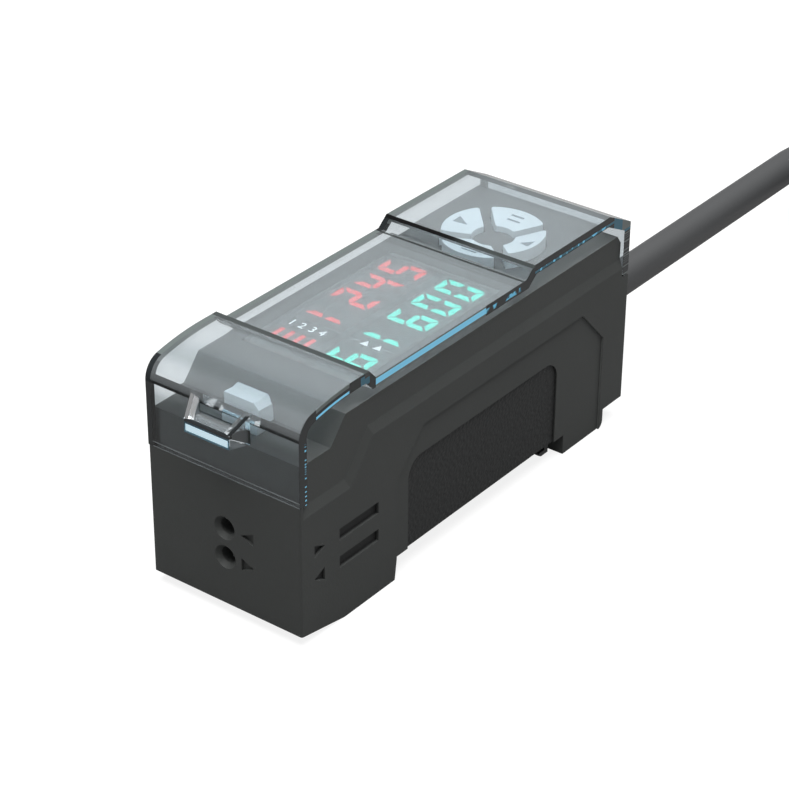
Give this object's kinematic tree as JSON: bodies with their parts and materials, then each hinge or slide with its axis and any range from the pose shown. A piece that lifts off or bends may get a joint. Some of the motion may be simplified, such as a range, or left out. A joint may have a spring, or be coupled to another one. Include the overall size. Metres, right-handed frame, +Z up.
{
  "type": "fibre optic color sensor amplifier",
  "caption": "Slim rail-mounted amplifier box for fibre optics, with a hinged clear cover over lit displays and a round keypad, and a round cable.",
  "frame": {"origin": "under the middle of the box formed by the case, cover and strain relief's inner end, on the plane of the feet", "axes": "+Z up, +Y from the fibre ports towards the cable, +X to the right seen from the fibre ports"},
  "size_m": [0.0568, 0.234, 0.0329],
  "materials": {
    "case_plastic": "fine spark-eroded matt",
    "clear_plastic": "polished clear",
    "smoked_window": "polished smoked",
    "white_plastic": "satin",
    "black_plastic": "satin",
    "red_light": "lit",
    "cyan_light": "lit",
    "steel": "bright",
    "circuit_board": "satin",
    "chip": "matt",
    "gold_pin": "plated",
    "can": "satin",
    "lens_glass": "polished",
    "cable_jacket": "satin",
    "core_jacket": "satin"
  },
  "bodies": {
    "case": {"lower_case": "case_plastic", "upper_case": "case_plastic", "fibre_block": "case_plastic", "block_screws": "steel", "hinge_pin": "steel", "display_window": "smoked_window", "output_display": "black_plastic", "channel_display": "black_plastic", "red_display": "black_plastic", "cyan_display": "black_plastic", "output_bars": "red_light", "channel_segments": "cyan_light", "red_segments": "red_light", "cyan_segments": "cyan_light", "display_board": "circuit_board", "display_board_screws": "steel", "main_board": "circuit_board", "main_board_screws": "steel", "sensor_board": "circuit_board", "sensor_board_screws": "steel", "sensor_header": "black_plastic", "emitter_lens": "lens_glass", "receiver_lens": "lens_glass", "colour_lamp": "white_plastic", "light_receiver": "chip", "lower_connector": "black_plastic", "upper_connector": "black_plastic", "connector_pins": "gold_pin", "processor": "chip", "capacitors": "can", "inductor": "chip", "output_transistors": "chip", "clip_spring": "steel", "cable_relief": "cable_jacket", "cable_entry": "cable_jacket", "cable_cores": "core_jacket", "cable": "cable_jacket", "cable_hank": "cable_jacket", "cable_tie": "black_plastic", "cable_tail": "cable_jacket", "cable_leads": "core_jacket", "left_switch": "black_plastic", "right_switch": "black_plastic", "front_switch": "black_plastic", "rear_switch": "black_plastic"},
    "cover": {"dust_cover": "clear_plastic"},
    "lock": {"lock_button": "white_plastic", "lock_slide": "steel"},
    "clip": {"rail_clip": "case_plastic"},
    "left_button": {"left_key": "white_plastic", "left_plunger": "white_plastic"},
    "right_button": {"right_key": "white_plastic", "right_plunger": "white_plastic"},
    "front_button": {"front_key": "white_plastic", "front_plunger": "white_plastic"},
    "rear_button": {"rear_key": "white_plastic", "rear_plunger": "white_plastic"}
  },
  "joints": [
    {"name": "cover_hinge", "type": "hinge", "parent": "case", "child": "cover", "pos_m": [0, 0.0357, 0.0231], "axis": [-1, 0, 0], "range_deg": [0, 90]},
    {"name": "lock_press", "type": "slide", "parent": "case", "child": "lock", "axis": [0, 0, -1], "range_m": [0, 0.0012]},
    {"name": "clip_slide", "type": "slide", "parent": "case", "child": "clip", "axis": [0, 1, 0], "range_m": [0, 0.0022], "stiffness_N_per_m": 1500, "springref_m": -0.001, "deforming": ["clip_spring"]},
    {"name": "left_key_press", "type": "slide", "parent": "case", "child": "left_button", "axis": [0, 0, -1], "range_m": [0, 0.0003], "stiffness_N_per_m": 400, "springref_m": -0.0003},
    {"name": "right_key_press", "type": "slide", "parent": "case", "child": "right_button", "axis": [0, 0, -1], "range_m": [0, 0.0003], "stiffness_N_per_m": 400, "springref_m": -0.0003},
    {"name": "front_key_press", "type": "slide", "parent": "case", "child": "front_button", "axis": [0, 0, -1], "range_m": [0, 0.0003], "stiffness_N_per_m": 400, "springref_m": -0.0003},
    {"name": "rear_key_press", "type": "slide", "parent": "case", "child": "rear_button", "axis": [0, 0, -1], "range_m": [0, 0.0003], "stiffness_N_per_m": 400, "springref_m": -0.0003}
  ]
}
